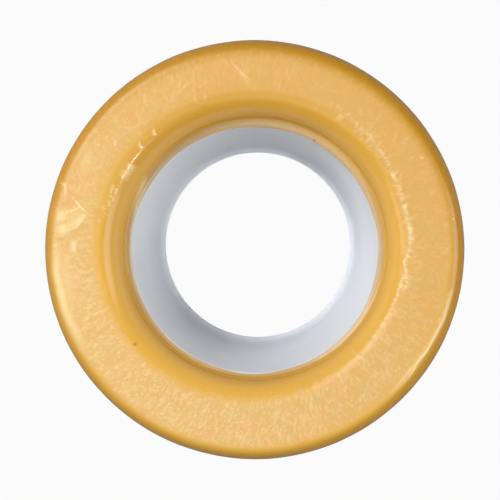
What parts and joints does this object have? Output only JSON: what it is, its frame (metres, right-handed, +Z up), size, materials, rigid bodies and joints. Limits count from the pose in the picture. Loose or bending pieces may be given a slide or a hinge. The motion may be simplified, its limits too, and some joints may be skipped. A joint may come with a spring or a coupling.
{
  "type": "toilet pan seal",
  "caption": "Moulded wax sealing ring with a flat crown and rounded shoulders, cast round the brim of a tapered white plastic horn.",
  "frame": {"origin": "middle of the horn's lower end, on the ring's axis", "axes": "+Z up along the ring's axis, from the horn's lower end to the crown that the pan lands on"},
  "size_m": [0.14, 0.14, 0.055],
  "materials": {
    "wax": "soft amber wax, smooth in the mouth and frosted on the crown",
    "plastic": "moulded natural white polyethylene, satin"
  },
  "bodies": {
    "root": {"wax_ring": "wax", "horn_sleeve": "plastic"}
  },
  "joints": []
}
